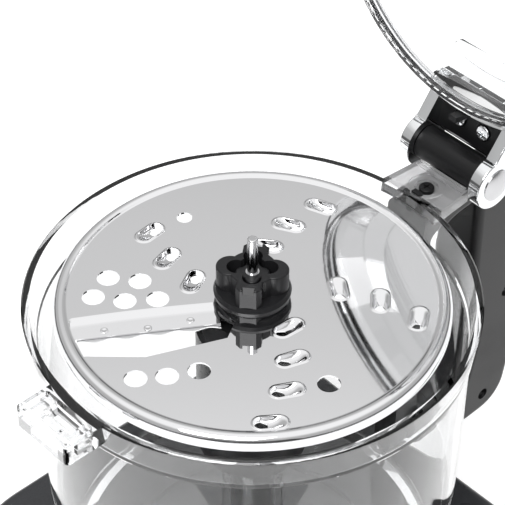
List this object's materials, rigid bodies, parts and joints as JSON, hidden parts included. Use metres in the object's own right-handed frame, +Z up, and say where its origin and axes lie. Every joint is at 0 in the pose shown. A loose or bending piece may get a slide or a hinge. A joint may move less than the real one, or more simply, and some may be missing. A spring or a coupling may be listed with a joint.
{
  "type": "food processor",
  "caption": "Hinged-lid food processor with a clear bowl, reversible slicing and shredding disc, feed tube, pushers and belt-driven base.",
  "frame": {"origin": "on the bowl's axis, in the plane of the feet", "axes": "+Z up, +X towards the handle and hinge, -Y towards the control panel"},
  "size_m": [0.462, 0.277, 0.5721],
  "materials": {
    "clear_bowl": "clear moulded copolyester, polished",
    "clear_lid": "clear moulded copolyester, polished",
    "smoke_pusher": "tinted clear plastic",
    "disc_steel": "mirror-polished stainless steel",
    "blade_steel": "ground stainless steel",
    "black_plastic": "fine satin black",
    "hub_plastic": "satin black with moulded marks",
    "chrome": "bright plated",
    "base_body": "dark metallic, satin",
    "panel_steel": "brushed",
    "button_plastic": "gloss",
    "rubber": "matte",
    "seal_rubber": "soft grey",
    "zinc_screw": "bright zinc",
    "spring_steel": "drawn wire",
    "shaft_steel": "ground",
    "core_steel": "stacked laminations",
    "copper": "enamelled copper wire",
    "cast_alloy": "die cast",
    "board": "circuit board",
    "nylon": "natural nylon"
  },
  "bodies": {
    "base": {"base_housing": "base_body", "base_trim": "chrome", "bottom_plate": "black_plastic", "rubber_feet": "rubber", "bowl_seat": "black_plastic", "drive_boss": "black_plastic", "control_panel": "panel_steel", "control_board": "board", "cord_gland": "rubber", "button_spring_pulse": "spring_steel", "button_spring_low": "spring_steel", "button_spring_high": "spring_steel", "bottom_screws": "zinc_screw", "motor_stator": "core_steel", "motor_windings": "copper", "motor_frame": "cast_alloy", "motor_bearings": "shaft_steel", "drive_belt": "rubber", "spindle_housing": "cast_alloy", "spindle_bearings": "shaft_steel", "interlock_switch": "button_plastic", "motor_screws": "zinc_screw"},
    "rotor": {"motor_rotor": "core_steel", "motor_commutator": "copper", "motor_fan": "nylon", "motor_shaft": "shaft_steel", "motor_pulley": "cast_alloy"},
    "spindle": {"drive_spindle": "shaft_steel", "spindle_pulley": "nylon"},
    "bowl": {"bowl_shell": "clear_bowl", "handle_left": "black_plastic", "handle_right": "black_plastic", "hinge_barrel": "black_plastic", "handle_screws": "zinc_screw", "pad_screw": "zinc_screw", "interlock_spring": "spring_steel"},
    "rod": {"interlock_rod": "nylon"},
    "adapter": {"drive_adapter": "hub_plastic", "adapter_pin": "shaft_steel"},
    "disc": {"disc_plate": "disc_steel", "slicing_blade": "blade_steel", "disc_hub": "hub_plastic"},
    "lid": {"lid_cover": "clear_lid", "lid_seal": "seal_rubber", "lid_trim": "chrome", "lid_bracket": "black_plastic", "hinge_arm_left": "chrome", "hinge_arm_right": "chrome", "pin_caps": "chrome", "lid_bush": "nylon", "hinge_pin": "shaft_steel", "lid_screws": "chrome", "latch_pin": "shaft_steel"},
    "latch": {"latch_lever": "black_plastic"},
    "large_pusher": {"large_pusher": "smoke_pusher"},
    "small_pusher": {"small_pusher": "smoke_pusher"},
    "pulse_button": {"button_pulse": "button_plastic"},
    "low_button": {"button_low": "button_plastic"},
    "high_button": {"button_high": "button_plastic"}
  },
  "joints": [
    {"name": "bowl_lift", "type": "slide", "parent": "base", "child": "bowl", "axis": [0, 0, 1], "range_m": [0, 0.08]},
    {"name": "motor_spin", "type": "hinge", "parent": "base", "child": "rotor", "pos_m": [0, 0.07, 0.07], "axis": [0, 0, 1], "continuous": true},
    {"name": "spindle_spin", "type": "hinge", "parent": "base", "child": "spindle", "pos_m": [0, 0, 0.1], "axis": [0, 0, 1], "continuous": true},
    {"name": "adapter_spin", "type": "hinge", "parent": "bowl", "child": "adapter", "pos_m": [0, 0, 0.25], "axis": [0, 0, 1], "continuous": true},
    {"name": "disc_lift", "type": "slide", "parent": "adapter", "child": "disc", "axis": [0, 0, 1], "range_m": [0, 0.06]},
    {"name": "lid_hinge", "type": "hinge", "parent": "bowl", "child": "lid", "pos_m": [0.137, 0, 0.315], "axis": [0, 1, 0], "range_deg": [-100, 0]},
    {"name": "latch_snap", "type": "hinge", "parent": "lid", "child": "latch", "pos_m": [0.18658, 0, 0.56164], "axis": [0, -1, 0], "range_deg": [-10, 0]},
    {"name": "interlock_push", "type": "slide", "parent": "bowl", "child": "rod", "axis": [0, 0, 1], "range_m": [-0.005, 0], "deforming": ["interlock_spring"]},
    {"name": "large_pusher_slide", "type": "slide", "parent": "lid", "child": "large_pusher", "axis": [0.9848, 0, -0.1736], "range_m": [-0.04, 0.06]},
    {"name": "small_pusher_slide", "type": "slide", "parent": "large_pusher", "child": "small_pusher", "axis": [0.9848, 0, -0.1736], "range_m": [0, 0.08]},
    {"name": "pulse_press", "type": "slide", "parent": "base", "child": "pulse_button", "axis": [0, -0.8587, 0.5125], "range_m": [-0.003, 0], "stiffness_N_per_m": 400, "deforming": ["button_spring_pulse"]},
    {"name": "low_press", "type": "slide", "parent": "base", "child": "low_button", "axis": [0, -0.8587, 0.5125], "range_m": [-0.003, 0], "stiffness_N_per_m": 400, "deforming": ["button_spring_low"]},
    {"name": "high_press", "type": "slide", "parent": "base", "child": "high_button", "axis": [0, -0.8587, 0.5125], "range_m": [-0.003, 0], "stiffness_N_per_m": 400, "deforming": ["button_spring_high"]}
  ],
  "couplings": [
    {"joint": "spindle_spin", "follows": "motor_spin", "ratio": 0.25},
    {"joint": "adapter_spin", "follows": "motor_spin", "ratio": 0.25},
    {"joint": "interlock_push", "follows": "lid_hinge", "m_per_rad": 0.0028647}
  ]
}
